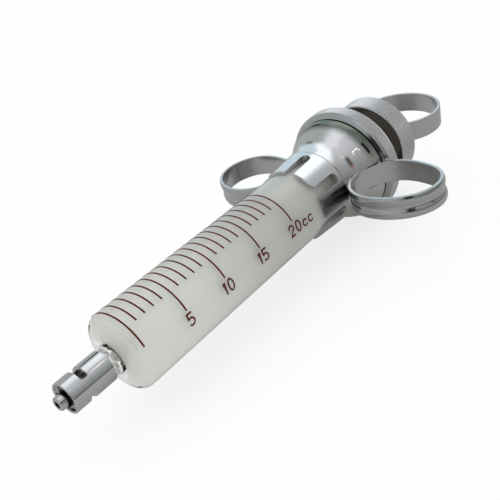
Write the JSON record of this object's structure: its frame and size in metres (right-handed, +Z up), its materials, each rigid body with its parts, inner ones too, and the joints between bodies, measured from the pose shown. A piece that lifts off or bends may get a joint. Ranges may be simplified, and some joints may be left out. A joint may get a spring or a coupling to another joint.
{
  "type": "control syringe",
  "caption": "Reusable glass syringe with finger rings on a flared metal mount, a swivelling thumb ring on its plunger and a locking taper nozzle for a needle.",
  "frame": {"origin": "on the syringe axis, at the mouth of the lock sleeve", "axes": "+X out of the needle end along the axis, +Z up out of the plane of the finger rings (the side that carries the scale), +Y to the right-hand finger ring"},
  "size_m": [0.1817, 0.0885, 0.0394],
  "materials": {
    "polished_chrome": "polished plating",
    "satin_chrome": "knurled, satin plating",
    "bare_steel": "brushed",
    "clear_glass": "polished",
    "ground_glass": "fine ground",
    "soft_gasket": "matt",
    "slip_washer": "smooth",
    "cement": "cured",
    "scale_enamel": "fired enamel"
  },
  "bodies": {
    "barrel": {"luer_nozzle": "polished_chrome", "lock_sleeve": "polished_chrome", "tip_ferrule": "polished_chrome", "tip_cement": "cement", "glass_barrel": "clear_glass", "barrel_collet": "polished_chrome", "bell_housing": "polished_chrome", "finger_ring_right": "polished_chrome", "finger_ring_left": "polished_chrome", "front_gasket": "soft_gasket", "rear_gasket": "soft_gasket"},
    "nut_washer": {"nut_slip_washer": "slip_washer"},
    "lock_nut": {"lock_nut": "satin_chrome"},
    "plunger_mount": {"cap_back_plate": "satin_chrome", "plunger_cushion": "soft_gasket"},
    "plunger_glass": {"glass_plunger": "ground_glass"},
    "cap_washer": {"cap_slip_washer": "slip_washer"},
    "plunger_cap": {"plunger_cap": "satin_chrome"},
    "thumb_ring": {"thumb_ring": "polished_chrome", "swivel_stud": "polished_chrome", "stud_clip": "bare_steel", "swivel_washer": "bare_steel"}
  },
  "joints": [
    {"name": "plunger_slide", "type": "slide", "parent": "barrel", "child": "plunger_mount", "axis": [-1, 0, 0], "range_m": [0, 0.062]},
    {"name": "plunger_spin", "type": "hinge", "parent": "plunger_mount", "child": "plunger_glass", "pos_m": [-0.08, 0, 0], "axis": [1, 0, 0], "continuous": true},
    {"name": "thumb_swivel", "type": "hinge", "parent": "plunger_mount", "child": "thumb_ring", "pos_m": [-0.1475, 0, 0], "axis": [1, 0, 0], "continuous": true},
    {"name": "nut_travel", "type": "slide", "parent": "barrel", "child": "nut_washer", "axis": [-1, 0, 0], "range_m": [0, 0.004]},
    {"name": "nut_turn", "type": "hinge", "parent": "nut_washer", "child": "lock_nut", "pos_m": [-0.126, 0, 0], "axis": [-1, 0, 0], "range_deg": [0, 1440]},
    {"name": "cap_travel", "type": "slide", "parent": "plunger_mount", "child": "cap_washer", "axis": [1, 0, 0], "range_m": [0, 0.002]},
    {"name": "cap_turn", "type": "hinge", "parent": "cap_washer", "child": "plunger_cap", "pos_m": [-0.143, 0, 0], "axis": [1, 0, 0], "range_deg": [0, 720]}
  ],
  "couplings": [
    {"joint": "nut_travel", "follows": "nut_turn", "m_per_rad": 0.00015915},
    {"joint": "cap_travel", "follows": "cap_turn", "m_per_rad": 0.00015915}
  ]
}
